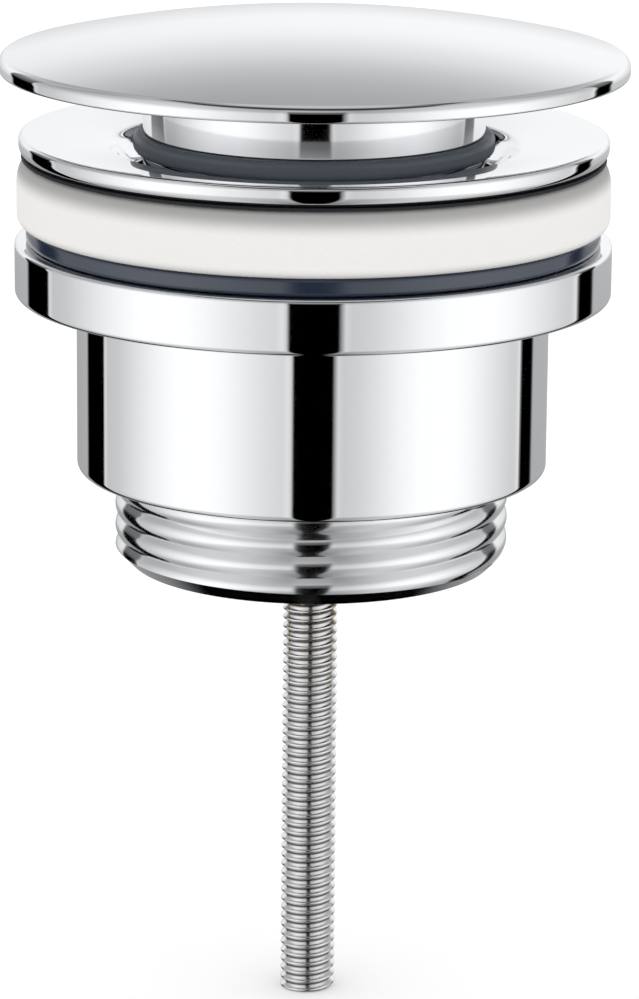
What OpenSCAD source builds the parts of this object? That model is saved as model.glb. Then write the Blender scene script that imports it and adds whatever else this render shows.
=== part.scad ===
// Pop up basin waste: a push-push plug in a dished flange, clamped to a basin by one long screw.
// Origin on the axis, in the plane where the flange rests on the basin. Z is up. Millimetres.

/* [Cap] */
// Outer diameter of the domed cap
cap_d = 66; // [63:0.5:70]
// Rise of the dome above its edge
dome_h = 3.8; // [3.2:0.1:7]
// Thickness of the rounded edge
cap_edge_t = 2.1; // [1.8:0.1:2.8]
// Wall thickness of the cap
cap_wall = 1.6; // [1.2:0.1:1.8]
// Diameter of the boss that takes the plunger
boss_d = 12; // [10:0.5:14]

/* [Plug] */
// Gap between flange and cap when the plug is up
lift_gap = 6.3; // [4.8:0.1:7]
// Gap left between flange and cap when pressed right down
pressed_gap = 0.3; // [0.2:0.1:1]
// Wall thickness of the neck
neck_wall = 1.5; // [1.2:0.1:2]
// Thickness of the neck's web under the cap's boss
web_t = 1.4; // [1.2:0.1:2]
// How far the seal stands out of the neck
seal_proud = 1; // [0.8:0.1:1.2]
// Height of the seal
seal_h = 2.1; // [1.8:0.1:2.6]
// How far the neck reaches below the seal groove
neck_lip = 1.5; // [1.2:0.1:2]

/* [Flange] */
// Outer diameter of the flange
flange_d = 62; // [60:0.5:66]
// Thickness of the flange's edge
flange_t = 2.2; // [2:0.1:3]
// How far the dish falls from the edge to the mouth
dish_depth = 1.2; // [0.8:0.1:1.3]
// Outer diameter of the tube that passes through the basin
tube_d = 43; // [40:0.5:44]
// Wall thickness of the tube
tube_wall = 2.45; // [2:0.05:3]
// How far the mouth widens from the throat, on each side
mouth_flare = 2.15; // [1.5:0.05:2.4]
// Width of the four overflow windows in the tube
window_w = 10; // [8:0.5:12]
// Height of the overflow windows
window_h = 11; // [8:0.5:12]
// Width of the spider's arms
arm_w = 4; // [3:0.5:5]
// Height of the spider's arms
arm_h = 5; // [4:0.5:6]
// Wall thickness of the hub
hub_wall = 2.45; // [2:0.05:3.5]

/* [Washers] */
// Thickness of the flange gasket
gasket_t = 0.7; // [0.6:0.1:1]
// How far the gasket's thin edge sits back from the flange's edge
gasket_inset = 0.25; // [0.2:0.05:1]
// How far the foam washer stands out past the flange
foam_over = 0.25; // [0:0.05:1]
// Thickness of the foam washer
foam_t = 6.8; // [5.5:0.1:9]
// How far the rubber washer sits back from the foam washer
rubber_inset = 0.95; // [0.5:0.05:2]
// Thickness of the rubber washer
rubber_t = 2; // [1.5:0.1:3]

/* [Lower body] */
// How far the collar stands out past the foam washer
collar_over = 0.25; // [0:0.05:1]
// Height of the collar
collar_h = 5.75; // [4.5:0.25:7]
// Outer diameter of the barrel
barrel_d = 50; // [49:0.5:54]
// Crest diameter of the tail's pipe thread
tail_d = 41.91; // [41.91:0.01:41.91]
// Pitch of the tail's pipe thread
tail_pitch = 2.309; // [2.309:0.001:2.309]
// Length of the tail
tail_h = 10; // [9:0.25:14]
// Wall thickness of the tail behind its thread
tail_wall = 2.25; // [1.6:0.05:3]

/* [Fixing screw] */
// Nominal diameter of the screw thread
screw_d = 6; // [6:1:6]
// Pitch of the screw thread
screw_pitch = 1; // [1:0.05:1]
// Length under the head
screw_len = 70; // [60:5:90]
// Diameter of the head
head_d = 10; // [9.5:0.1:10.4]
// Height of the head
head_h = 3.9; // [3.5:0.1:4.5]
// Width of the driver slot
slot_w = 1.6; // [1.2:0.1:2]
// Depth of the driver slot
slot_depth = 2; // [1.5:0.1:2.2]

/* [Cartridge] */
// Outer diameter of the sleeve's thread
sleeve_thread_d = 16; // [16:0.5:17]
// Wall thickness of the sleeve
sleeve_wall = 1.1; // [0.8:0.05:1.4]
// Width across the flats of the sleeve's hexagon
sleeve_hex = 18; // [17.5:0.5:18]
// Diameter of the plunger's stem
stem_d = 5.6; // [5:0.1:6]
// Width of the cam rings
cam_w = 1.75; // [1.5:0.05:2]
// Width of the rotor's pegs
peg_w = 1.3; // [1:0.1:1.3]
// Height of the rotor's pegs
peg_h = 2; // [1.6:0.1:2.6]
// Turn of the rotor in one press
index_angle = 22.5; // [22.5:0.5:22.5]
// How much higher the latched plug stands than the pressed one
latch_rise = 0.9; // [0.6:0.1:1.2]
// Wire diameter of the return spring
wire_d = 0.7; // [0.5:0.05:0.8]
// Turns of the return spring
spring_turns = 5.5; // [4.5:0.5:6]

/* [Hidden] */
steps = 8;
turn_fn = 96;
overlap = 1;
peg_count = 4;
turn = 360 / peg_count;

// Clearances
thread_gap = 0.05;
running_gap = 0.07;
press_gap = 0.05;
seal_gap = 0.05;
slip_gap = 0.2;
cam_gap = 0.1;
cam_side_gap = 0.15;
floor_gap = 0.5;
shoulder_gap = 0.9;
neck_top_gap = 0.1;
tube_floor_gap = 2.5;
tube_skirt = 1.5;
bore_gap = 0.7;
washer_gap = 0.9;

// Cap and neck
mouth_z = flange_t - dish_depth;
cap_r = cap_d / 2;
tube_r = tube_d / 2;
throat_r = tube_r - tube_wall;
seal_r = throat_r - seal_gap;
neck_r = seal_r - seal_proud;
rim_edge = 0.75;
rim_low_edge = 0.3;
crease_angle = 62;
crease_r = cap_r - rim_edge * (1 - cos(crease_angle));
cap_bottom = flange_t + lift_gap;
crease_z = cap_bottom + cap_edge_t;
rim_z = crease_z - rim_edge * sin(crease_angle);
apex_z = crease_z + dome_h;
dome_r = (crease_r * crease_r + dome_h * dome_h) / (2 * dome_h);
dome_centre = apex_z - dome_r;
roof_r = dome_r - cap_wall;
edge_land = 2;
hollow_r = crease_r - edge_land;
neck_top = dome_centre + sqrt(roof_r * roof_r - neck_r * neck_r) - neck_top_gap;
web_rise = 2.4;
web_top = cap_bottom + web_rise;
web_bottom = web_top - web_t;
travel = lift_gap - pressed_gap;
seal_sink = 0.65;
seal_z = mouth_z - seal_sink;
groove_slack = 0.05;
groove_depth = 1;
groove_r = neck_r - groove_depth;
neck_bottom = seal_z - groove_slack - neck_lip;
seal_edge_r = 0.7;
neck_chamfer = 0.5;

// Flange
flange_r = flange_d / 2;
lip_top_edge = 0.5;
lip_low_edge = 1.15;
mouth_r = throat_r + mouth_flare;
lead_in = 1.95;
throat_z = seal_z - lead_in;
recess_z = 0.4;
gasket_proud = gasket_t - recess_z;
lip_w = 1.25;
recess_r = flange_r - lip_low_edge - lip_w;
gasket_r = flange_r - gasket_inset;

// Cartridge, from the plunger's shoulder down
shoulder_h = 1.6;
shoulder_hex = 8;
shoulder_z = web_bottom - shoulder_h;
stem_r = stem_d / 2;
spigot_r = 2.95;
roof_left = 1.2;
spigot_len = apex_z - roof_left - cam_gap - web_top;
pin_r = 1.6;
clip_t = 0.5;
clip_r = 2.9;
clip_root_r = 1.2;
clip_mouth = 2.2;
sleeve_r = sleeve_thread_d / 2;
sleeve_top = shoulder_z - travel - shoulder_gap;
sleeve_step = 0.4;
sleeve_neck_r = sleeve_r - sleeve_step;
sleeve_bore_r = sleeve_neck_r - sleeve_wall;
hub_r = sleeve_r + thread_gap + hub_wall;
hex_h = 3;
lid_t = 1.4;
lid_z = sleeve_top - lid_t;
cam_r = sleeve_bore_r - press_gap;
cam_roof = 1;
rotor_gap = 0.3;
cam_in_r = cam_r - cam_w;
rotor_r = cam_in_r - rotor_gap;
cam_mid_r = (cam_r + cam_in_r) / 2;
peg_r = sleeve_bore_r - slip_gap;
peg_top = lid_z - cam_roof;
peg_low = peg_top - peg_h - travel;
latch_z = peg_top - travel + latch_rise;
crown_z = peg_top - travel + cam_gap;
valley_z = peg_low - cam_gap;
tooth_h = 1.1;
tooth_z = valley_z + tooth_h;
lid_gap = 0.6;
rotor_tail = 3;
rotor_top = lid_z - lid_gap;
rotor_bottom = peg_top - peg_h - rotor_tail;
clip_z = rotor_bottom - clip_t - cam_gap;
coil_reserve = 0.65;
spring_solid = (spring_turns + coil_reserve) * wire_d;
sleeve_floor = rotor_bottom - travel - spring_solid;
coil_inset = 0.35;
coil_gap = 0.035;
floor_t = 1.4;
sleeve_bottom = sleeve_floor - floor_t;
ring_t = 1;
ring_w = 1.3;
engage = 6.6;
hub_top = sleeve_bottom + engage;
hex_z = hub_top + ring_t;

// Screw and hub
screw_r = screw_d / 2 - thread_gap;
thread_depth = 0.6134 * screw_pitch;
screw_crest = screw_pitch / 8;
screw_flank = thread_depth * tan(30);
head_r = head_d / 2;
head_top = sleeve_bottom - floor_gap;
head_z = head_top - head_h;
screw_tip = head_z - screw_len;
tip_chamfer = 0.7;
plain_len = 4;
screw_washer_t = 1;
washer_over = 2;
hub_floor = head_z - screw_washer_t;
hub_floor_t = 2.5;
hub_bottom = hub_floor - hub_floor_t;
screw_hole_r = screw_r + slip_gap;
arm_top = hub_bottom + arm_h;
tube_bottom = hub_bottom - tube_skirt;
window_rise = 0.5;
window_z = arm_top + window_rise;

// Washers and lower body, from the gasket down
foam_r = flange_r + foam_over;
rubber_r = foam_r - rubber_inset;
collar_r = foam_r + collar_over;
foam_edge = 0.9;
rubber_edge = 0.5;
foam_top = -gasket_proud;
foam_z = foam_top - foam_t;
collar_top = foam_z - rubber_t;
collar_z = collar_top - collar_h;
barrel_r = barrel_d / 2;
bore_r = tube_r + bore_gap;
washer_bore_r = tube_r + washer_gap;
bore_floor = tube_bottom - tube_floor_gap;
floor_slope = 2;
barrel_floor = 3.7;
barrel_z = bore_floor - barrel_floor;
tail_z = barrel_z - tail_h;
tail_r = tail_d / 2;
tail_depth = 0.39 * tail_pitch;
tail_root_r = tail_r - tail_depth;
tail_flank = tail_depth * tan(27.5);
tail_crest = 0.3 * tail_pitch;
tail_relief = 0.55;
end_chamfer = 0.75;
tail_first = barrel_z - tail_relief - tail_flank - tail_crest / 2;
tail_run = tail_first - tail_z - tail_crest / 2 - tail_flank - end_chamfer;
tail_turns = floor(tail_run / tail_pitch) + 1;
bridge_step = 1.4;
bridge_drop = 3;
bridge_bore_r = tail_root_r - tail_wall;
outlet_r = bridge_bore_r - bridge_step;
bridge_z = barrel_z - bridge_drop;
bridge_h = 5;
bridge_rim = 1.5;
bridge_inset = 0.5;
bridge_arm_w = 3;
bridge_hub_r = 5;
bridge_hub_over = 1;
tap_r = screw_r + cam_gap;

chrome = [0.84, 0.85, 0.87];
steel = [0.7, 0.71, 0.73];
brass = [0.78, 0.62, 0.3];
white = [0.93, 0.92, 0.9];
rubber = [0.16, 0.18, 0.22];
resin = [0.9, 0.89, 0.84];

// Points of an arc about a centre in the turning plane
function arc(c, r, from, to) =
    [for (i = [0 : steps]) let (a = from + (to - from) * i / steps) c + r * [cos(a), sin(a)]];

// Section of a ring with rounded outer edges
function ring_section(inner, outer, low, high, edge) = concat(
    [[inner, low]],
    arc([outer - edge, low + edge], edge, -90, 0),
    arc([outer - edge, high - edge], edge, 0, 90),
    [[inner, high]]);

// Outline of thread ridges from the first crest's height downwards
function ridges(crest_r, root_r, first, pitch, crest, flank, count) =
    [for (i = [0 : count - 1], p = [[root_r, crest / 2 + flank], [crest_r, crest / 2],
        [crest_r, -crest / 2], [root_r, -crest / 2 - flank]]) [p[0], first - i * pitch + p[1]]];

module turned(points) {
    rotate_extrude($fn = turn_fn) polygon(points);
}

module disc(r, low, high) {
    translate([0, 0, low]) cylinder(r = r, h = high - low, $fn = turn_fn);
}

module tube(inner, outer, low, high) {
    turned([[inner, low], [outer, low], [outer, high], [inner, high]]);
}

module hexagon(flats, low, high) {
    translate([0, 0, low]) cylinder(d = flats / cos(30), h = high - low, $fn = 6);
}

// Wedge between two angles, wider than any cam
module sector(from, to, low, high) {
    reach = 2 * cam_r;
    middle = (from + to) / 2;
    translate([0, 0, low]) linear_extrude(height = high - low)
        polygon([[0, 0], reach * [cos(from), sin(from)],
            reach * [cos(middle), sin(middle)], reach * [cos(to), sin(to)]]);
}

// Cut through a cam at an angle: points are along the rim and up
module cam_cut(angle, points) {
    rotate(angle) translate([cam_in_r - overlap, 0, 0]) rotate([90, 0, 90])
        linear_extrude(height = cam_r - cam_in_r + 2 * overlap) polygon(points);
}

module spider(width, reach, low, high) {
    for (a = [45, 135])
        rotate(a) translate([-reach, -width / 2, low]) cube([2 * reach, width, high - low]);
}

module dome(r, limit, low) {
    intersection() {
        translate([0, 0, dome_centre]) sphere(r = r, $fn = turn_fn);
        disc(limit, low, apex_z + overlap);
    }
}

module cap() {
    color(chrome) difference() {
        union() {
            difference() {
                union() {
                    dome(dome_r, crease_r, crease_z - rim_edge);
                    turned(concat([[0, cap_bottom]],
                        arc([cap_r - rim_low_edge, cap_bottom + rim_low_edge], rim_low_edge, -90, 0),
                        arc([cap_r - rim_edge, rim_z], rim_edge, 0, crease_angle),
                        [[0, crease_z]]));
                }
                dome(roof_r, hollow_r, cap_bottom - overlap);
            }
            disc(boss_d / 2, web_top, apex_z - cap_wall / 2);
        }
        disc(spigot_r + thread_gap, web_top - overlap, web_top + spigot_len + cam_gap);
    }
}

module plug_neck() {
    inner = neck_r - neck_wall;
    groove_top = seal_z + seal_h + groove_slack;
    color(chrome) turned([
        [inner, neck_bottom],
        [neck_r - neck_chamfer, neck_bottom],
        [neck_r, neck_bottom + neck_chamfer],
        [neck_r, seal_z - groove_slack],
        [groove_r, seal_z - groove_slack],
        [groove_r, groove_top],
        [neck_r, groove_top],
        [neck_r, neck_top],
        [inner, neck_top],
        [inner, web_top],
        [spigot_r + thread_gap, web_top],
        [spigot_r + thread_gap, web_bottom],
        [inner, web_bottom]]);
}

module plug_seal() {
    color(rubber)
        turned(ring_section(groove_r + groove_slack, seal_r, seal_z, seal_z + seal_h, seal_edge_r));
}

module plunger() {
    color(brass) difference() {
        union() {
            disc(pin_r, clip_z - overlap, rotor_top);
            disc(stem_r, rotor_top, shoulder_z);
            hexagon(shoulder_hex, shoulder_z, web_bottom);
            disc(spigot_r, web_bottom, web_top + spigot_len);
        }
        tube(clip_root_r, pin_r + overlap, clip_z - cam_gap / 2, clip_z + clip_t + cam_gap / 2);
    }
}

module rotor() {
    color(resin) difference() {
        union() {
            disc(rotor_r, rotor_bottom, rotor_top);
            for (i = [0 : peg_count - 1])
                rotate(i * turn) translate([pin_r + overlap, -peg_w / 2, peg_top - peg_h])
                    cube([peg_r - pin_r - overlap, peg_w, peg_h]);
        }
        disc(pin_r + running_gap, rotor_bottom - overlap, rotor_top + overlap);
    }
}

module rotor_clip() {
    color(steel) difference() {
        tube(clip_root_r + thread_gap, clip_r, clip_z, clip_z + clip_t);
        translate([0, -clip_mouth / 2, clip_z - overlap])
            cube([clip_r + overlap, clip_mouth, clip_t + 2 * overlap]);
    }
}

module return_spring() {
    per_turn = 20;
    sides = 8;
    wire_r = wire_d / 2;
    coil_r = rotor_r - wire_r - coil_inset;
    closed = wire_d + coil_gap;
    rings = round(spring_turns * per_turn);
    low = sleeve_floor + wire_r;
    high = rotor_bottom - wire_r;
    open_pitch = (high - low - 2 * closed) / (spring_turns - 2);
    heights = [for (i = [0 : rings]) let (t = i * spring_turns / rings)
        t < 1 ? low + closed * t
        : t > spring_turns - 1 ? high - closed * (spring_turns - t)
        : low + closed + open_pitch * (t - 1)];
    points = [for (i = [0 : rings], j = [0 : sides - 1])
        let (a = 360 * i / per_turn, b = 360 * j / sides, r = coil_r + wire_r * cos(b))
        [r * cos(a), r * sin(a), heights[i] + wire_r * sin(b)]];
    walls = [for (i = [0 : rings - 1], j = [0 : sides - 1], half = [0, 1])
        let (k = (j + 1) % sides, a = i * sides + j, b = i * sides + k)
        half == 0 ? [a, b, b + sides] : [a, b + sides, a + sides]];
    start = [for (j = [sides - 1 : -1 : 0]) j];
    finish = [for (j = [0 : sides - 1]) rings * sides + j];
    color(steel) polyhedron(points, concat(walls, [start, finish]));
}

module cartridge_sleeve() {
    color(brass) difference() {
        union() {
            disc(sleeve_r, sleeve_bottom, hex_z + overlap);
            hexagon(sleeve_hex, hex_z, hex_z + hex_h);
            disc(sleeve_neck_r, hex_z + hex_h - overlap, sleeve_top);
        }
        disc(sleeve_bore_r, sleeve_floor, sleeve_top + overlap);
    }
}

module cartridge_lid() {
    color(brass) tube(stem_r + running_gap, cam_r, lid_z, sleeve_top);
}

module upper_cam() {
    low = crown_z - overlap;
    side = peg_w / 2 + cam_side_gap;
    back = asin(side / cam_in_r);
    deep = index_angle + back;
    far = turn - back;
    latch_angle = turn / 2;
    ramp = cam_mid_r * (latch_angle - deep) * PI / 180;
    ramp_slope = (ramp - side) / (latch_z - crown_z);
    tip = side + cam_side_gap;
    rest = cam_mid_r * (far - latch_angle) * PI / 180 + overlap;
    rest_slope = (rest - tip) / (latch_z + overlap - crown_z);
    color(resin) difference() {
        tube(cam_in_r, cam_r, crown_z, lid_z);
        for (i = [0 : peg_count - 1]) rotate(i * turn) {
            sector(-back, deep, low, peg_top + cam_gap);
            cam_cut(latch_angle, [[-ramp - ramp_slope * overlap, low], [side, low],
                [side, latch_z], [-side, latch_z]]);
            cam_cut(latch_angle, [[tip - rest_slope * overlap, low], [rest, low],
                [rest, latch_z + overlap]]);
        }
    }
}

module lower_cam() {
    side = peg_w / 2 + cam_side_gap;
    high = tooth_z + overlap;
    lean = 0.45;
    color(resin) difference() {
        tube(cam_in_r, cam_r, sleeve_floor, tooth_z);
        for (i = [0 : 2 * peg_count - 1])
            cam_cut(index_angle + i * turn / 2, [[-side, valley_z], [side, valley_z],
                [side, high], [-side - lean * (high - valley_z), high]]);
    }
}

module sleeve_ring() {
    color(rubber) tube(sleeve_r + slip_gap, sleeve_r + slip_gap + ring_w, hub_top, hex_z);
}

module flange() {
    arm_reach = (throat_r + tube_r) / 2;
    color(chrome) difference() {
        union() {
            turned(concat(
                [[throat_r, tube_bottom], [tube_r, tube_bottom], [tube_r, recess_z],
                    [recess_r, recess_z], [recess_r, 0]],
                arc([flange_r - lip_low_edge, lip_low_edge], lip_low_edge, -90, 0),
                arc([flange_r - lip_top_edge, flange_t - lip_top_edge], lip_top_edge, 0, 90),
                [[mouth_r, mouth_z], [throat_r, throat_z]]));
            spider(arm_w, arm_reach, hub_bottom, arm_top);
            disc(hub_r, hub_bottom, hub_top);
        }
        disc(sleeve_r + thread_gap, hub_floor, hub_top + overlap);
        disc(screw_hole_r, hub_bottom - overlap, hub_floor + overlap);
        for (a = [0 : 90 : 270])
            rotate(a) translate([throat_r - overlap, -window_w / 2, window_z])
                cube([tube_r - throat_r + 2 * overlap, window_w, window_h]);
    }
}

module flange_gasket() {
    bore = tube_r + slip_gap;
    step = recess_r - slip_gap;
    color(rubber) turned([
        [bore, -gasket_proud], [gasket_r, -gasket_proud], [gasket_r, 0],
        [step, 0], [step, recess_z], [bore, recess_z]]);
}

module screw_washer() {
    color(rubber) tube(screw_hole_r, head_r + washer_over, hub_floor, head_z);
}

module fixing_screw() {
    root_r = screw_r - thread_depth;
    first = head_z - plain_len;
    count = floor((first - screw_tip - tip_chamfer) / screw_pitch);
    head_edge = 0.6;
    color(steel) difference() {
        turned(concat(
            [[0, head_top]],
            arc([head_r - head_edge, head_top - head_edge], head_edge, 90, 0),
            [[head_r, head_z], [screw_r, head_z],
                [screw_r, first + screw_crest / 2 + 2 * screw_flank]],
            ridges(screw_r, root_r, first, screw_pitch, screw_crest, screw_flank, count),
            [[root_r, screw_tip], [0, screw_tip]]));
        translate([-head_r - overlap, -slot_w / 2, head_top - slot_depth])
            cube([2 * (head_r + overlap), slot_w, slot_depth + overlap]);
    }
}

module foam_washer() {
    color(white) turned(ring_section(washer_bore_r, foam_r, foam_z, foam_top, foam_edge));
}

module rubber_washer() {
    color(rubber) turned(ring_section(washer_bore_r, rubber_r, collar_top, foam_z, rubber_edge));
}

module lower_body() {
    top_edge = 0.4;
    low_edge = 0.6;
    barrel_edge = 0.7;
    color(chrome) turned(concat(
        [[bore_r, collar_top]],
        arc([collar_r - top_edge, collar_top - top_edge], top_edge, 90, 0),
        arc([collar_r - low_edge, collar_z + low_edge], low_edge, 0, -90),
        [[barrel_r, collar_z]],
        arc([barrel_r - barrel_edge, barrel_z + barrel_edge], barrel_edge, 0, -90),
        [[tail_root_r, barrel_z]],
        ridges(tail_r, tail_root_r, tail_first, tail_pitch, tail_crest, tail_flank, tail_turns),
        [[tail_root_r, tail_z + end_chamfer], [tail_root_r - end_chamfer, tail_z],
            [bridge_bore_r, tail_z], [bridge_bore_r, bridge_z], [outlet_r, bridge_z],
            [outlet_r, bore_floor - floor_slope], [bore_r, bore_floor]]));
}

module screw_bridge() {
    rim_r = bridge_bore_r - press_gap;
    rim_in = rim_r - bridge_rim;
    low = bridge_z - bridge_h;
    color(brass) difference() {
        union() {
            tube(rim_in, rim_r, low, bridge_z);
            spider(bridge_arm_w, rim_in + bridge_rim / 2, low + bridge_inset, bridge_z - bridge_inset);
            disc(bridge_hub_r, low - bridge_hub_over, bridge_z + bridge_hub_over);
        }
        disc(tap_r, low - bridge_hub_over - overlap, bridge_z + bridge_hub_over + overlap);
    }
}

cap();
plug_neck();
plug_seal();
plunger();
rotor();
rotor_clip();
return_spring();
cartridge_sleeve();
cartridge_lid();
upper_cam();
lower_cam();
sleeve_ring();
flange();
flange_gasket();
screw_washer();
fixing_screw();
foam_washer();
rubber_washer();
lower_body();
screw_bridge();
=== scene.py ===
import math

import bmesh
import bpy
from mathutils import Matrix, Vector


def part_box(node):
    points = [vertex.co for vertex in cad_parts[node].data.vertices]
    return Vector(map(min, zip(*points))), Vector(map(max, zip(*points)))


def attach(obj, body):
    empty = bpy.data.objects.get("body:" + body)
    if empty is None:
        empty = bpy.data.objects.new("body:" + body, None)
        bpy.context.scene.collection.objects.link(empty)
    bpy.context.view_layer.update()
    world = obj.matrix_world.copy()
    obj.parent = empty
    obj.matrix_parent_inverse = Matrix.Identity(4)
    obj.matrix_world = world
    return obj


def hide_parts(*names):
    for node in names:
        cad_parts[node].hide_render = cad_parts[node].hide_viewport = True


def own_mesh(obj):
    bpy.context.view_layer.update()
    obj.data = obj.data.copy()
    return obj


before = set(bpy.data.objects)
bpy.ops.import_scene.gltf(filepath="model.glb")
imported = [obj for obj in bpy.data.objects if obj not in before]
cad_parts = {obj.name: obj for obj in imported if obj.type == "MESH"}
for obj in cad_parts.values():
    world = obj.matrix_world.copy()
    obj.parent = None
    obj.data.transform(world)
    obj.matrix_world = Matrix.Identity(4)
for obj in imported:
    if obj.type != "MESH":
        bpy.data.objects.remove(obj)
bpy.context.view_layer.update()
bpy.context.scene.view_settings.view_transform = "Standard"

MM = 0.001
ROUND = 224          # steps in one full turn of a polished piece
HOLD = 0.12          # distance from a rounding to the loop that keeps the flat beside it flat
EASE = 0.15          # rounding that only takes the sharpness off an edge
NEAR = 0.002         # distance within which a vertex is taken to be at its station
WELD = 0.000001      # distance in metres within which vertices are joined
SMOOTH = 32          # degrees between two faces up to which their edge is shaded smooth
CORNER_STEPS = 6     # faces across a rounded corner of an outline
EDGE_STEPS = 5       # faces across a rounded edge of a block
STRAIGHT = (0, 90, 180, 270)
DIAGONAL = (45, 135, 225, 315)


# bench: the few moves that every piece is made with

def span(node):
    """Outer radius, bottom and top of a CAD node, in millimetres."""
    low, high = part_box(node)
    return high.x / MM, low.z / MM, high.z / MM


def sweep(r, z, radius, start, end, steps):
    """Stations along an arc about (r, z), angles in degrees from straight out."""
    turns = [math.radians(start + (end - start) * i / steps) for i in range(steps + 1)]
    return [(r + radius * math.cos(a), z + radius * math.sin(a)) for a in turns]


def held(stations, closed):
    """Adds a holding station on each side of every rounded corner, where there is room for one."""
    drawn = []
    for i, station in enumerate(stations):
        here, rounding = Vector(station[:2]), station[2] if len(station) > 2 else 0
        before = Vector(stations[i - 1][:2]) if closed or i else None
        after = Vector(stations[(i + 1) % len(stations)][:2]) if closed or i + 1 < len(stations) else None
        for side, other in ((0, before), (1, after)):
            if side:
                drawn.append(tuple(here))
            if rounding and other is not None and (other - here).length > 2 * (rounding + HOLD):
                drawn.append(tuple(here + (other - here).normalized() * (rounding + HOLD)))
    return drawn


def choose(piece, others=()):
    """Selects a piece, makes it the active one, and selects any others beside it."""
    bpy.ops.object.select_all(action="DESELECT")
    for each in (*others, piece):
        each.select_set(True)
    bpy.context.view_layer.objects.active = piece


def pick(piece, wanted):
    """Selects, in edit mode, the vertices whose place in millimetres is wanted."""
    bpy.ops.mesh.select_all(action="DESELECT")
    mesh = bmesh.from_edit_mesh(piece.data)
    for vertex in mesh.verts:
        vertex.select_set(wanted(vertex.co / MM))
    mesh.select_flush_mode()
    bmesh.update_edit_mesh(piece.data)


def weld(distance=WELD):
    """Joins, in edit mode, all vertices that meet."""
    bpy.ops.mesh.select_all(action="SELECT")
    bpy.ops.mesh.remove_doubles(threshold=distance)


def turn_mesh(degrees):
    """Turns, in edit mode, the whole mesh about the axis."""
    bpy.ops.mesh.select_all(action="SELECT")
    bpy.ops.transform.rotate(value=math.radians(degrees), orient_axis="Z", center_override=(0, 0, 0))


def outline(name, stations, closed=True):
    """Draws an outline beside the axis, station by station; a third number rounds that corner."""
    drawn = held(stations, closed)
    bpy.ops.object.select_all(action="DESELECT")
    bpy.ops.mesh.primitive_plane_add(size=MM)
    piece = bpy.context.object
    piece.name = name
    bpy.ops.object.mode_set(mode="EDIT")
    bpy.ops.mesh.merge(type="CENTER")
    bpy.ops.transform.translate(value=(drawn[0][0] * MM, 0, drawn[0][1] * MM))
    for (r, z), (next_r, next_z) in zip(drawn, drawn[1:] + drawn[:1] * closed):
        bpy.ops.mesh.extrude_region_move(
            TRANSFORM_OT_translate={"value": ((next_r - r) * MM, 0, (next_z - z) * MM)})
    weld()
    for rounding in sorted({s[2] for s in stations if len(s) > 2}):
        corners = [s for s in stations if len(s) > 2 and s[2] == rounding]
        pick(piece, lambda p: any(abs(p.x - s[0]) + abs(p.z - s[1]) < NEAR for s in corners))
        bpy.ops.mesh.bevel(offset=rounding * MM, segments=CORNER_STEPS, affect="VERTICES")
    return piece


def close_up(piece, smooth=SMOOTH):
    """Welds what meets, turns the faces outwards and leaves edit mode with smooth shading."""
    weld()
    bpy.ops.mesh.normals_make_consistent(inside=False)
    bpy.ops.object.mode_set(mode="OBJECT")
    choose(piece)
    bpy.ops.object.shade_smooth_by_angle(angle=math.radians(smooth))
    return piece


def turned(name, stations, steps=ROUND):
    """Turns an outline about the axis into a solid; one that starts and ends on the axis stays open there."""
    piece = outline(name, stations, closed=stations[0][0] > 0 or stations[-1][0] > 0)
    bpy.ops.mesh.select_all(action="SELECT")
    bpy.ops.mesh.spin(steps=steps, angle=math.tau, center=(0, 0, 0), axis=(0, 0, 1))
    return close_up(piece)


def block(name, low, high, rounding=0, along=None):
    """A box between two corners with its edges rounded, or only those edges that run along one axis."""
    bpy.ops.object.select_all(action="DESELECT")
    bpy.ops.mesh.primitive_cube_add(size=MM)
    piece = bpy.context.object
    piece.name = name
    bpy.ops.object.mode_set(mode="EDIT")
    bpy.ops.transform.resize(value=[h - l for l, h in zip(low, high)])
    bpy.ops.transform.translate(value=[(l + h) / 2 * MM for l, h in zip(low, high)])
    if rounding:
        mesh = bmesh.from_edit_mesh(piece.data)
        bpy.ops.mesh.select_all(action="DESELECT")
        bpy.ops.mesh.select_mode(type="EDGE")
        for edge in mesh.edges:
            run = (edge.verts[1].co - edge.verts[0].co).normalized()
            edge.select_set(along is None or abs(run[along]) > 0.9)
        bmesh.update_edit_mesh(piece.data)
        bpy.ops.mesh.bevel(offset=rounding * MM, segments=EDGE_STEPS, affect="EDGES")
        bpy.ops.mesh.select_mode(type="VERT")
    return close_up(piece)


def copy_round(piece, degrees):
    """Copies of a piece, each with its own mesh, turned about the axis by each angle. The piece itself goes."""
    copies = []
    for angle in degrees:
        choose(piece)
        bpy.ops.object.duplicate(linked=False)
        copy = bpy.context.object
        bpy.ops.object.mode_set(mode="EDIT")
        turn_mesh(angle)
        bpy.ops.object.mode_set(mode="OBJECT")
        copies.append(copy)
    bpy.data.objects.remove(piece)
    return copies


def combine(piece, tools, operation, smooth=SMOOTH):
    """Adds, cuts or keeps the common part of a piece and each tool, which is used up."""
    for tool in tools:
        choose(piece)
        step = piece.modifiers.new("combine", "BOOLEAN")
        step.operation = operation
        step.solver = "EXACT"
        step.object = tool
        bpy.ops.object.modifier_apply(modifier=step.name)
        bpy.data.objects.remove(tool)
    bpy.ops.object.shade_smooth_by_angle(angle=math.radians(smooth))
    return piece


def join(piece, others):
    """Puts other pieces' meshes into the first one's."""
    choose(piece, others)
    bpy.ops.object.join()
    return piece


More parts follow.
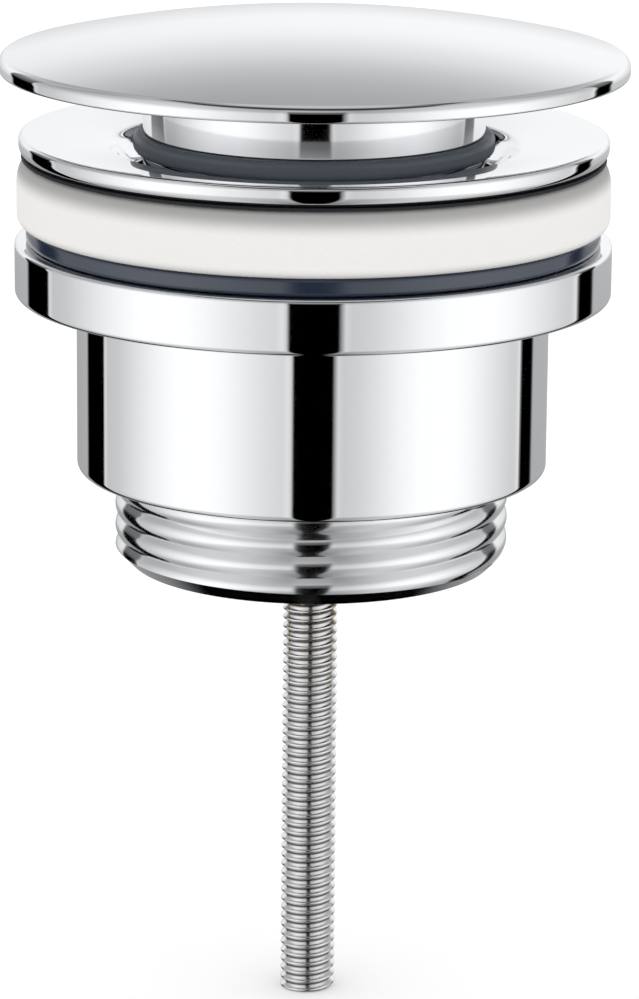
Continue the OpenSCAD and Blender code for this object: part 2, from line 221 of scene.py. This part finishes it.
def helix(name, stations, pitch, turns, steps, closed=False):
    """Winds an outline round the axis, rising by pitch at each turn."""
    piece = outline(name, stations, closed=closed)
    bpy.ops.object.mode_set(mode="OBJECT")
    wind = piece.modifiers.new("wind", "SCREW")
    wind.axis = "Z"
    wind.angle = math.tau * turns
    wind.screw_offset = pitch * turns * MM
    wind.steps = wind.render_steps = round(steps * turns)
    wind.use_merge_vertices = False
    bpy.ops.object.modifier_apply(modifier=wind.name)
    bpy.ops.object.mode_set(mode="EDIT")
    weld()
    return piece


def threaded_bar(name, crest, root, pitch, share, lean, low, high, steps):
    """A solid bar with a thread wound on it, cut flat at both ends.

    Each turn is a rounded band over a share of the pitch, whose sides lean by some degrees, and a sharp root."""
    first = low - 2 * pitch
    swell = share * pitch / 2 / math.sin(math.radians(lean))
    band = sweep(crest - swell, first + pitch / 2, swell, -lean, lean, 10)
    stations = [(root, first)] + band + [(root, first + pitch)]
    piece = helix(name, stations, pitch, math.ceil((high - first) / pitch) + 1, steps)
    for level, above in ((low, False), (high, True)):
        bpy.ops.mesh.select_all(action="SELECT")
        bpy.ops.mesh.bisect(plane_co=(0, 0, level * MM), plane_no=(0, 0, 1), use_fill=True,
                            clear_inner=not above, clear_outer=above, threshold=WELD)
    return close_up(piece, smooth=40)


# sizes read from the CAD, and a few that pieces share, in millimetres

RING_REACH = 1.5              # how far the sleeve's ring stands out past the sleeve
cap_r, cap_low, cap_top = span("cap")
neck_r, neck_low, neck_top = span("plug_neck")
seal_r, seal_low, seal_top = span("plug_seal")
flange_r, tube_low, flange_top = span("flange")
gasket_r, gasket_low, recess_z = span("flange_gasket")
foam_r, foam_low, foam_top = span("foam_washer")
rubber_r, rubber_low, rubber_top = span("rubber_washer")
collar_r, tail_low, collar_top = span("lower_body")
head_r, screw_tip, head_top = span("fixing_screw")
coil_r, coil_low, coil_top = span("return_spring")
sleeve_low = span("cartridge_sleeve")[1]
hub_floor = span("screw_washer")[1]
sleeve_r = span("sleeve_ring")[0] - RING_REACH
web_top = cap_low + 2.4       # where the neck's web meets the cap's boss
stem_hole = 3                 # radius of the hole for the plunger's stem, in the cap and the neck
washer_bore = 22.4            # inner radius of the foam and rubber washers


# finishes

def surface_grain():
    """Group: noise at two sizes on the piece's own coordinates, as a value between two limits and a height."""
    times_finer, fine_share, detail = 9, 0.4, 3
    dullest, brightest = 0.3, 0.7
    group = bpy.data.node_groups.new("surface_grain", "ShaderNodeTree")
    for name, kind in (("Vector", "Vector"), ("Scale", "Float"), ("Low", "Float"), ("High", "Float")):
        group.interface.new_socket(name, in_out="INPUT", socket_type="NodeSocket" + kind)
    for name in ("Value", "Height"):
        group.interface.new_socket(name, in_out="OUTPUT", socket_type="NodeSocketFloat")
    nodes, links = group.nodes, group.links
    start, end = nodes.new("NodeGroupInput"), nodes.new("NodeGroupOutput")
    broad, fine = nodes.new("ShaderNodeTexNoise"), nodes.new("ShaderNodeTexNoise")
    finer = nodes.new("ShaderNodeMath")
    finer.operation = "MULTIPLY"
    finer.inputs[1].default_value = times_finer
    links.new(start.outputs["Scale"], finer.inputs[0])
    links.new(finer.outputs[0], fine.inputs["Scale"])
    links.new(start.outputs["Scale"], broad.inputs["Scale"])
    both = nodes.new("ShaderNodeMix")
    both.inputs["Factor"].default_value = fine_share
    limits = nodes.new("ShaderNodeMapRange")
    limits.inputs["From Min"].default_value = dullest
    limits.inputs["From Max"].default_value = brightest
    for noise in (broad, fine):
        noise.inputs["Detail"].default_value = detail
        links.new(start.outputs["Vector"], noise.inputs["Vector"])
    links.new(broad.outputs["Fac"], both.inputs["A"])
    links.new(fine.outputs["Fac"], both.inputs["B"])
    links.new(both.outputs["Result"], limits.inputs["Value"])
    links.new(start.outputs["Low"], limits.inputs["To Min"])
    links.new(start.outputs["High"], limits.inputs["To Max"])
    links.new(limits.outputs["Result"], end.inputs["Value"])
    links.new(fine.outputs["Fac"], end.inputs["Height"])
    return group


def distance_from(nodes, links, place, ring):
    """Distance from the axis, or from a ring round it, given by its radius and height in millimetres."""
    flat, radius = nodes.new("ShaderNodeVectorMath"), nodes.new("ShaderNodeVectorMath")
    flat.operation, radius.operation = "MULTIPLY", "LENGTH"
    flat.inputs[1].default_value = (1, 1, 0)
    links.new(place, flat.inputs[0])
    links.new(flat.outputs["Vector"], radius.inputs[0])
    if ring is None:
        return radius.outputs["Value"]
    split, section = nodes.new("ShaderNodeSeparateXYZ"), nodes.new("ShaderNodeCombineXYZ")
    away = nodes.new("ShaderNodeVectorMath")
    away.operation = "DISTANCE"
    away.inputs[1].default_value = (ring[0] * MM, ring[1] * MM, 0)
    links.new(place, split.inputs[0])
    links.new(radius.outputs["Value"], section.inputs["X"])
    links.new(split.outputs["Z"], section.inputs["Y"])
    links.new(section.outputs[0], away.inputs[0])
    return away.outputs["Value"]


def finish(name, colour, tint, metallic, scale, roughness, relief=None, painted_shade=None, **plain):
    """A finish: one Principled surface whose tint, roughness and relief come from the grain group.

    Scale is the grain's, and roughness is the two limits that it moves between. Relief is a strength and a depth in
    millimetres. Painted shade is given as a ring or None, two distances from it or from the axis, and the share that
    the tinted colour falls to between them, so that shade is painted darker into the colour near the ring or the axis.
    Any other socket of the surface is set by its name."""
    material = bpy.data.materials.new(name)
    material.use_nodes = True
    nodes, links = material.node_tree.nodes, material.node_tree.links
    surface = nodes["Principled BSDF"]
    surface.inputs["Base Color"].default_value = (*colour, 1)
    surface.inputs["Metallic"].default_value = metallic
    for socket, value in plain.items():
        surface.inputs[socket].default_value = value
    place = nodes.new("ShaderNodeTexCoord").outputs["Object"]
    group = nodes.new("ShaderNodeGroup")
    group.node_tree = grain
    for socket, value in (("Scale", scale), ("Low", roughness[0]), ("High", roughness[1])):
        group.inputs[socket].default_value = value
    links.new(place, group.inputs["Vector"])
    links.new(group.outputs["Value"], surface.inputs["Roughness"])
    if relief:
        bump = nodes.new("ShaderNodeBump")
        bump.inputs["Strength"].default_value = relief[0]
        bump.inputs["Distance"].default_value = relief[1] * MM
        links.new(group.outputs["Height"], bump.inputs["Height"])
        links.new(bump.outputs["Normal"], surface.inputs["Normal"])
    shade = nodes.new("ShaderNodeMix")
    shade.data_type = "RGBA"
    shade.inputs["A"].default_value = (*colour, 1)
    shade.inputs["B"].default_value = (*tint, 1)
    links.new(group.outputs["Height"], shade.inputs["Factor"])
    shown = shade.outputs["Result"]
    # painted shade: the colour is dimmed near the ring or the axis, where shade would darken it
    if painted_shade:
        ring, start, end, share = painted_shade
        fall, dim = nodes.new("ShaderNodeMapRange"), nodes.new("ShaderNodeMix")
        fall.interpolation_type = "SMOOTHSTEP"
        for socket, value in (("From Min", start * MM), ("From Max", end * MM), ("To Min", 1), ("To Max", share)):
            fall.inputs[socket].default_value = value
        dim.data_type, dim.blend_type = "RGBA", "MULTIPLY"
        dim.inputs["Factor"].default_value = 1
        links.new(distance_from(nodes, links, place, ring), fall.inputs["Value"])
        links.new(shown, dim.inputs["A"])
        links.new(fall.outputs["Result"], dim.inputs["B"])
        shown = dim.outputs["Result"]
    links.new(shown, surface.inputs["Base Color"])
    return material


def dress(piece, material):
    """Gives a piece one finish all over."""
    piece.data.materials.clear()
    piece.data.materials.append(material)


CHROME, CHROME_TINT = (0.93, 0.935, 0.945), (0.96, 0.962, 0.968)
STEEL, STEEL_TINT = (0.85, 0.838, 0.836), (0.95, 0.937, 0.935)
THREAD_ROOT_PAINTED_SHADE = (None, 2.6, 2.41, 0.36)                       # painted shade: darker in the roots of the screw's thread
FOAM_PAINTED_SHADE = ((foam_r - 0.85, foam_top), 2.9, 0.8, 0.42)          # painted shade: darker at the shoulder, under the flange's lip

grain = surface_grain()
chrome = finish("polished_chrome", CHROME, CHROME_TINT, 1, 160, (0.02, 0.05))
drawn_chrome = finish("drawn_chrome", CHROME, CHROME_TINT, 1, 240, (0.05, 0.09))
thread_chrome = finish("thread_chrome", (0.92, 0.925, 0.935), (0.95, 0.952, 0.958), 1, 300, (0.08, 0.14), (0.05, 0.02))
steel = finish("bright_steel", STEEL, STEEL_TINT, 1, 400, (0.12, 0.22), (0.15, 0.02))
# rolled steel, with shade painted darker into the roots of the thread
rolled_steel = finish("rolled_steel", STEEL, STEEL_TINT, 1, 400, (0.12, 0.22), (0.15, 0.02), THREAD_ROOT_PAINTED_SHADE)
spring_steel = finish("spring_steel", (0.5, 0.5, 0.52), (0.62, 0.62, 0.63), 1, 500, (0.2, 0.35), (0.15, 0.02))
brass = finish("turned_brass", (0.7, 0.5, 0.22), (0.8, 0.62, 0.32), 1, 350, (0.2, 0.36), (0.2, 0.02))
# white foam, with shade painted darker into its shoulder under the flange's lip
foam = finish("white_foam", (0.83, 0.82, 0.8), (0.9, 0.89, 0.87), 0, 500, (0.65, 0.85), (0.35, 0.06), FOAM_PAINTED_SHADE)
washer_rubber = finish(
    "washer_rubber", (0.015, 0.024, 0.046), (0.021, 0.032, 0.06), 0, 450, (0.12, 0.2), (0.1, 0.03), IOR=1.8)
seal_rubber = finish("seal_rubber", (0.1, 0.125, 0.15), (0.14, 0.165, 0.19), 0, 450, (0.3, 0.48), (0.25, 0.03))
black_rubber = finish(
    "black_rubber", (0.011, 0.012, 0.014), (0.018, 0.019, 0.022), 0, 450, (0.45, 0.65), (0.25, 0.03), IOR=1.35)
resin = finish("white_resin", (0.78, 0.76, 0.7), (0.84, 0.82, 0.77), 0, 400, (0.35, 0.5), (0.1, 0.02))


# pieces

def make_cap():
    """The domed cap: a shallow mirror dome, a crease, a rounded rim, and a hollow underside with a boss.

    The rim's underside rises a little towards its outer edge."""
    edge, edge_turn, low_edge = 1, 62, 0.3
    lip_rise, lip_turn = 0.3, -82
    rim_height, rim_width, wall = 2.1, 2, 1.6
    boss, stem_roof = 6, cap_top - 1.2
    short = 0.05              # degrees by which the dome's last station stops short of the crease
    lip = cap_low + lip_rise
    crease_r = cap_r - edge * (1 - math.cos(math.radians(edge_turn)))
    crease_z = cap_low + rim_height
    rim_z = crease_z - edge * math.sin(math.radians(edge_turn))
    rise = cap_top - crease_z
    dome = (crease_r ** 2 + rise ** 2) / (2 * rise)
    middle = cap_top - dome
    lean = math.degrees(math.acos(crease_r / dome))
    hollow, roof = crease_r - rim_width, dome - wall
    roof_end, roof_start = (math.degrees(math.acos(r / roof)) for r in (hollow, boss))
    crown = sweep(0, middle, dome, 90, lean + short, 48)[1:]
    rim = (sweep(cap_r - edge, rim_z, edge, edge_turn, 0, 12)
           + [(cap_r, rim_z - HOLD), (cap_r, lip + low_edge + HOLD)]
           + sweep(cap_r - low_edge, lip + low_edge, low_edge, 0, lip_turn, 8))
    ceiling = sweep(0, middle, roof, roof_end, roof_start, 24)
    return turned("domed_cap", [(0, cap_top)] + crown + rim + [(hollow, cap_low, 0.2)] + ceiling + [
        (boss, web_top, 0.2), (stem_hole, web_top), (stem_hole, stem_roof), (0, stem_roof)])


def make_neck():
    """The plug's neck: a thin tube with a web for the stem and a groove for the seal ring."""
    wall, groove_depth, web, play = 1.5, 1, 1.4, 0.05
    inner, groove, web_low = neck_r - wall, neck_r - groove_depth, web_top - web
    low, high = seal_low - play, seal_top + play
    return turned("plug_tube", [
        (inner, neck_low, EASE), (neck_r, neck_low, 0.4), (neck_r, low, 0.12), (groove, low),
        (groove, high), (neck_r, high, 0.12), (neck_r, neck_top), (inner, neck_top),
        (inner, web_top), (stem_hole, web_top), (stem_hole, web_low), (inner, web_low, 0.3)])


def make_ring(name, inner, outer, low, high, edge):
    """A moulded ring with rounded outer edges and eased inner ones."""
    return turned(name, [
        (inner, low, EASE), (outer, low, edge), (outer, high, edge), (inner, high, EASE)])


def make_foam():
    """The foam washer: soft at its lower edge, and drawn in under the flange at its upper one."""
    edge, draw, fall = 0.9, 1.5, 2.6
    quarter = sweep(foam_r - draw, 0, draw, 0, 90, 12)
    shoulder = [(outer_r, foam_top - fall + up * fall / draw) for outer_r, up in quarter]
    return turned("foam_ring", [
        (washer_bore, foam_low, EASE), (foam_r, foam_low, edge)] + shoulder + [(washer_bore, foam_top, EASE)])


def make_gasket():
    """The flange's gasket: it fills the recess, and its thin skirt under the lip is a dark sheet put there for the
    shade in the gap between the lip and the foam.
    """
    inner, step, edge = 21.7, gasket_r - 2.35, 0.1
    return turned("gasket_ring", [
        (inner, gasket_low, edge), (gasket_r, gasket_low, edge), (gasket_r, 0, edge), (step, 0),
        (step, recess_z, edge), (inner, recess_z, edge)])


def make_flange():
    """The dished flange on its slotted tube, with the hub that carries the cartridge on a spider."""
    top_edge, low_edge = 0.5, 1.15
    tube, throat = 21.5, seal_r + 0.05
    recess = flange_r - low_edge - 1.25
    mouth, mouth_z, throat_z = throat + 2.15, flange_top - 1.2, seal_low - 1.95
    piece = turned("dished_flange", [
        (throat, tube_low, 0.2), (tube, tube_low, 0.4), (tube, recess_z), (recess, recess_z), (recess, 0)]
        + sweep(flange_r - low_edge, low_edge, low_edge, -90, 0, 14)
        + [(flange_r, low_edge + HOLD), (flange_r, flange_top - top_edge - HOLD)]
        + sweep(flange_r - top_edge, flange_top - top_edge, top_edge, 0, 90, 10)
        + [(mouth, mouth_z, 0.7), (throat, throat_z, 0.6)])
    hub_r, hub_low, hub_top = sleeve_r + 2.5, tube_low + 1.5, sleeve_low + 6.6
    bore, hole = sleeve_r + 0.05, 3.15
    hub = turned("hub", [
        (hole, hub_low), (hub_r, hub_low, 0.5), (hub_r, hub_top, 0.4), (bore, hub_top),
        (bore, hub_floor), (hole, hub_floor)], steps=96)
    arm_start, arm_end, arm_side, arm_top = hub_r - 1, (tube + throat) / 2, 2, hub_low + 5
    cut_start, cut_end, cut_side, cut_low, cut_top = throat - 2, tube + 2, 5, hub_low + 5.5, hub_low + 16.5
    arm = block("arm", (arm_start, -arm_side, hub_low), (arm_end, arm_side, arm_top), 0.5, along=0)
    arms = copy_round(arm, DIAGONAL)
    window = block("window", (cut_start, -cut_side, cut_low), (cut_end, cut_side, cut_top), 1.2, along=0)
    windows = copy_round(window, STRAIGHT)
    combine(piece, [hub] + arms, "UNION")
    return combine(piece, windows, "DIFFERENCE")


def make_lower_body():
    """The collar and barrel, with the threaded tail that takes the trap."""
    bore, barrel, outlet, seat = 22.2, 25, 16.4, 17.8
    collar_low, barrel_low = collar_top - 5.75, tail_low + 10
    floor_low, floor_high = barrel_low + 1.7, barrel_low + 3.7
    crest, root, pitch = 20.955, 20.53, 2.309
    relief, seat_top, spare = barrel_low - 0.4, barrel_low - 3, 1
    piece = turned("collared_body", [
        (bore, collar_top, 0.2), (collar_r, collar_top, 0.4), (collar_r, collar_low, 0.6), (barrel, collar_low),
        (barrel, barrel_low, 0.7), (root, barrel_low), (root, relief), (outlet, relief),
        (outlet, floor_low, 0.3), (bore, floor_high, 0.3)])
    tail = threaded_bar("tail_thread", crest, root, pitch, share=0.6, lean=28,
                        low=tail_low - spare, high=relief + spare, steps=160)
    shape = turned("tail_shape", [
        (seat, tail_low, 0.2), (crest - 1.5, tail_low), (crest + 0.3, tail_low + 1.8), (crest + 0.5, relief),
        (outlet, relief), (outlet, seat_top), (seat, seat_top)], steps=160)
    combine(tail, [shape], "INTERSECT", smooth=12)
    dress(piece, chrome)
    dress(tail, thread_chrome)
    return join(piece, [tail])


def make_screw():
    """The long fixing screw: a slotted head, a plain neck and a rolled thread down to the tip."""
    head_low, slot_side, slot_low, spare = head_top - 3.9, 0.8, head_top - 2, 1
    plain, crest, depth, pitch = head_low - 4, 2.95, 0.56, 1
    piece = turned("threaded_screw", [
        (0, head_top), (head_r, head_top, 0.6), (head_r, head_low, EASE), (crest, head_low),
        (crest, plain, 0.3), (0, plain)], steps=96)
    slot = block("slot", (-head_r - spare, -slot_side, slot_low), (head_r + spare, slot_side, head_top + spare))
    combine(piece, [slot], "DIFFERENCE")
    thread = threaded_bar("rolled_thread", crest, crest - depth, pitch, share=0.27, lean=54,
                          low=screw_tip, high=plain, steps=40)
    dress(piece, steel)
    dress(thread, rolled_steel)
    return join(piece, [thread])


def make_bridge():
    """The bridge pressed into the tail: a ring, four arms and the hub that the screw pulls on."""
    rim, low, high = span("screw_bridge")
    bore, hub_r, inner, edge = 3.05, 5, rim - 1.5, 0.3
    ring_low, ring_high = low + 1, high - 1
    arm_start, arm_end, arm_side, arm_inset = hub_r - 0.8, rim - 0.75, 1.5, 0.5
    piece = turned("bridge_spider", [
        (inner, ring_low, edge), (rim, ring_low, edge), (rim, ring_high, edge), (inner, ring_high, edge)], steps=128)
    hub = turned("bridge_hub", [
        (bore, low, 0.35), (hub_r, low, 0.4), (hub_r, high, 0.4), (bore, high, 0.35)], steps=64)
    arm = block("bridge_arm", (arm_start, -arm_side, ring_low + arm_inset),
                (arm_end, arm_side, ring_high - arm_inset), 0.4, along=0)
    return combine(piece, [hub] + copy_round(arm, DIAGONAL), "UNION")


def make_spring():
    """The return spring: close coils at both ends and open ones between."""
    wire, turns, close = 0.35, 5.5, 0.735
    radius = coil_r - wire
    low, high = coil_low + wire, coil_top - wire
    pitch = (high - low - 2 * close) / (turns - 2)
    ring = sweep(radius, low, wire, 0, 360, 12)[:-1]
    parts = []
    for name, level, rise, count in (("return_coil", 0, close, 1), ("coil_mid", close, pitch, turns - 2),
                                     ("coil_top", high - low - close, close, 1)):
        part = helix(name, [(r, z + level) for r, z in ring], rise, count, steps=40, closed=True)
        if name == "coil_top":
            turn_mesh(180)
        bpy.ops.object.mode_set(mode="OBJECT")
        parts.append(part)
    piece = join(parts[0], parts[1:])
    bpy.ops.object.mode_set(mode="EDIT")
    weld(2 * WELD)
    bpy.ops.mesh.select_all(action="DESELECT")
    bpy.ops.mesh.select_non_manifold()
    bpy.ops.mesh.edge_face_add()
    return close_up(piece, smooth=60)


# each piece in its place, on its body, in its finish; the lower body and the screw are dressed as they are made

made = (
    (make_cap(), "cap", "plug", chrome),
    (make_neck(), "plug_neck", "plug", drawn_chrome),
    (make_ring("seal_ring", neck_r - 0.95, seal_r, seal_low, seal_top, 0.7), "plug_seal", "plug", seal_rubber),
    (make_flange(), "flange", "flange_unit", chrome),
    (make_gasket(), "flange_gasket", "flange_unit", black_rubber),
    (make_foam(), "foam_washer", "lower_unit", foam),
    (make_ring("rubber_ring", washer_bore, rubber_r, rubber_low, rubber_top, 0.5), "rubber_washer", "lower_unit",
     washer_rubber),
    (make_lower_body(), "lower_body", "lower_unit", None),
    (make_screw(), "fixing_screw", "screw", None),
    (make_bridge(), "screw_bridge", "lower_unit", brass),
    (make_spring(), "return_spring", "flange_unit", spring_steel),
)
for piece, node, body, material in made:
    if material:
        dress(piece, material)
    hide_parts(node)
    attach(piece, body)
spring = made[-1][0]
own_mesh(spring)

inside = {
    "plunger": brass, "rotor": resin, "rotor_clip": steel, "cartridge_sleeve": brass, "cartridge_lid": brass,
    "upper_cam": resin, "lower_cam": resin, "sleeve_ring": black_rubber, "screw_washer": black_rubber,
}
for node, material in inside.items():
    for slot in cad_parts[node].material_slots:
        slot.material = material


# studio: pale floor, plain even light, and what the polished metal sees round it
# each pair is a place in degrees and the level there: PANELS and GAPS go by the bearing from straight ahead, FLARE and
# BEHIND by the bearing to either side, and the others by the height over the horizon

SOFT_LIGHT = ((-90, 0.25), (-30, 0.32), (0, 0.86), (20, 1), (50, 0.8), (90, 0.6))
SOFT_LEVEL = 1.45
MIRROR_LEVEL = 1.08
WHITE = (1, 1, 1)
PANEL_TINT = (0.982, 0.998, 1.01)
PANELS = (
    (-180, 0.985), (-172, 0.92), (-160, 0.92), (-141, 1), (-120.5, 0.72), (-118.5, 0.52), (-108, 0.565),
    (-95, 0.72), (-82, 0.87), (-69, 0.99), (-52, 1), (-42, 0.93), (-31.5, 0.81), (-21, 0.7), (-14, 0.65),
    (-10, 0.76), (12, 0.66), (15, 0.57), (23, 0.625), (33, 0.75), (43, 0.89), (54, 0.98), (71, 1), (83, 0.92),
    (97, 0.77), (112, 0.62), (117.5, 0.6), (121, 0.73), (138, 1), (173, 1), (180, 0.985))
GAPS = (
    (-143, 1), (-141, 0), (-122, 0), (-120.8, 1), (-10, 1), (-9.2, 0), (10.8, 0), (11.7, 1),
    (121.5, 1), (122.6, 0), (134.8, 0), (136.8, 1))
FRONT = (
    (-84, 0), (-76, 0.25), (-68, 0.42), (-54, 0.54), (-45, 0.58), (-35, 0.64), (-27, 0.76), (-20, 1), (-5, 1),
    (3, 0.88), (10, 0.8), (16, 0.65), (35, 0.58), (42, 0.48), (46, 0.05))
BACK = (
    (-52, 0), (-40, 0.2), (-18, 0.36), (-12, 0.42), (-6, 0.7), (0, 0.77), (4.5, 0.85), (8, 0.91), (13, 0.905),
    (16.8, 0.86), (19, 0.8), (23, 0.695), (27, 0.55), (31, 0.445), (35, 0.385), (48, 0.36), (62, 0.46), (76, 0.5))
FLARE = ((20, 1), (80, 0.72))                                # the front's heights stretch towards the sides
BEHIND = ((123, 0), (134, 1))                                # where the front's levels give way to the back's
UNDER = ((-84, 0), (-74, 1))                                 # dark straight below
GAPS_END = ((-2, 0), (5, 0.15), (16, 0.26), (30, 1))         # the gaps pale above the horizon
PANELS_END = ((30, 0), (62, 1))                              # the panels even out overhead
ZENITH = ((63, 0), (76, 0.5))                                # a plain pale ceiling


def make_world():
    """White to the camera, plain white light on matt surfaces, and white panels between dark gaps for the metal."""
    world = bpy.data.worlds.new("studio")
    bpy.context.scene.world = world
    world.use_nodes = True
    world.cycles.sampling_method = "NONE"
    nodes, links = world.node_tree.nodes, world.node_tree.links
    nodes.clear()

    def worked(operation, *values):
        """The result of one sum on numbers or on what other nodes give."""
        node = nodes.new("ShaderNodeMath")
        node.operation = operation
        for socket, value in zip(node.inputs, values):
            if isinstance(value, (int, float)):
                socket.default_value = value
            else:
                links.new(value, socket)
        return node.outputs[0]

    def reading(value, stops, start, whole, tint=WHITE):
        """A ramp of greys, each a little tinted, over degrees that begin at start and cover the whole."""
        node = nodes.new("ShaderNodeValToRGB")
        marks = node.color_ramp.elements
        for i, (degrees, level) in enumerate(stops):
            spot = (degrees - start) / whole
            mark = marks[i] if i < 2 else marks.new(spot)
            mark.position = spot
            mark.color = (*(level * share for share in tint), 1)
        links.new(value, node.inputs[0])
        return node.outputs["Color"]

    def blended(kind, first, second, factor=None):
        """Two readings laid over each other, in full or by a factor."""
        node = nodes.new("ShaderNodeMix")
        node.data_type, node.blend_type = "RGBA", kind
        node.inputs["Factor"].default_value = 1
        if factor is not None:
            links.new(factor, node.inputs["Factor"])
        links.new(first, node.inputs["A"])
        links.new(second, node.inputs["B"])
        return node.outputs["Result"]

    def by_height(stops):
        """A ramp over the height, from straight down to straight up."""
        return reading(raised, stops, -90, 180)

    place, split = nodes.new("ShaderNodeTexCoord"), nodes.new("ShaderNodeSeparateXYZ")
    links.new(place.outputs["Generated"], split.inputs[0])
    bearing = worked("ARCTAN2", split.outputs["X"], worked("MULTIPLY", split.outputs["Y"], -1))
    turn = worked("ADD", worked("DIVIDE", bearing, math.tau), 0.5)
    side = worked("DIVIDE", worked("ABSOLUTE", bearing), math.pi)
    height = worked("DIVIDE", worked("ARCSINE", split.outputs["Z"]), math.pi)
    raised = worked("ADD", height, 0.5)
    flared = worked("ADD", worked("MULTIPLY", height, reading(side, FLARE, 0, 180)), 0.5)
    heights = blended("MIX", reading(flared, FRONT, -90, 180), by_height(BACK), reading(side, BEHIND, 0, 180))
    levels = blended("LIGHTEN", blended("MULTIPLY", heights, by_height(UNDER)), by_height(ZENITH))
    panels = blended("LIGHTEN", reading(turn, PANELS, -180, 360, PANEL_TINT), by_height(PANELS_END))
    gaps = blended("LIGHTEN", reading(turn, GAPS, -180, 360), by_height(GAPS_END))
    seen = blended("MULTIPLY", blended("MULTIPLY", panels, gaps), levels)

    path = nodes.new("ShaderNodeLightPath")
    white, even, mirror = (nodes.new("ShaderNodeBackground") for _ in range(3))
    white.inputs["Color"].default_value = (*WHITE, 1)
    even.inputs["Strength"].default_value = SOFT_LEVEL
    links.new(by_height(SOFT_LIGHT), even.inputs["Color"])
    mirror.inputs["Strength"].default_value = MIRROR_LEVEL
    links.new(seen, mirror.inputs["Color"])
    shiny, direct = nodes.new("ShaderNodeMixShader"), nodes.new("ShaderNodeMixShader")
    out = nodes.new("ShaderNodeOutputWorld")
    links.new(path.outputs["Is Glossy Ray"], shiny.inputs[0])
    links.new(even.outputs[0], shiny.inputs[1])
    links.new(mirror.outputs[0], shiny.inputs[2])
    links.new(worked("MAXIMUM", path.outputs["Is Camera Ray"], path.outputs["Is Transmission Ray"]), direct.inputs[0])
    links.new(shiny.outputs[0], direct.inputs[1])
    links.new(white.outputs[0], direct.inputs[2])
    links.new(direct.outputs[0], out.inputs["Surface"])


def make_floor():
    """A pale floor just under the screw's tip. It can be seen through from below, and the metal doesn't mirror it."""
    width, drop, pale = 8, 0.1, 0.95
    bpy.ops.object.select_all(action="DESELECT")
    bpy.ops.mesh.primitive_plane_add(size=width, location=(0, 0, (screw_tip - drop) * MM))
    floor = bpy.context.object
    floor.name = "studio_floor"
    floor.visible_glossy = floor.visible_diffuse = False
    material = bpy.data.materials.new("pale_floor")
    material.use_nodes = True
    nodes, links = material.node_tree.nodes, material.node_tree.links
    surface = nodes["Principled BSDF"]
    surface.inputs["Base Color"].default_value = (pale, pale, pale, 1)
    surface.inputs["Roughness"].default_value = 1
    surface.inputs["Specular IOR Level"].default_value = 0
    below, clear = nodes.new("ShaderNodeNewGeometry"), nodes.new("ShaderNodeBsdfTransparent")
    both = nodes.new("ShaderNodeMixShader")
    links.new(below.outputs["Backfacing"], both.inputs[0])
    links.new(surface.outputs[0], both.inputs[1])
    links.new(clear.outputs[0], both.inputs[2])
    links.new(both.outputs[0], nodes["Material Output"].inputs["Surface"])
    floor.data.materials.append(material)


def make_camera():
    """Half a metre in front, a little above the cap, looking down at the photograph's angle."""
    pitch, roll = 14.506, 0.5
    right, away, up = 0.89, 481, 86.9
    data = bpy.data.cameras.new("camera")
    camera = bpy.data.objects.new("camera", data)
    bpy.context.scene.collection.objects.link(camera)
    data.lens, data.sensor_width = 167.2, 36
    data.clip_start, data.clip_end = 0.02, 20
    turn = Matrix.Rotation(math.radians(90 - pitch), 4, "X") @ Matrix.Rotation(math.radians(roll), 4, "Z")
    camera.matrix_world = Matrix.Translation((right * MM, -away * MM, up * MM)) @ turn
    bpy.context.scene.camera = camera


make_world()
make_floor()
make_camera()
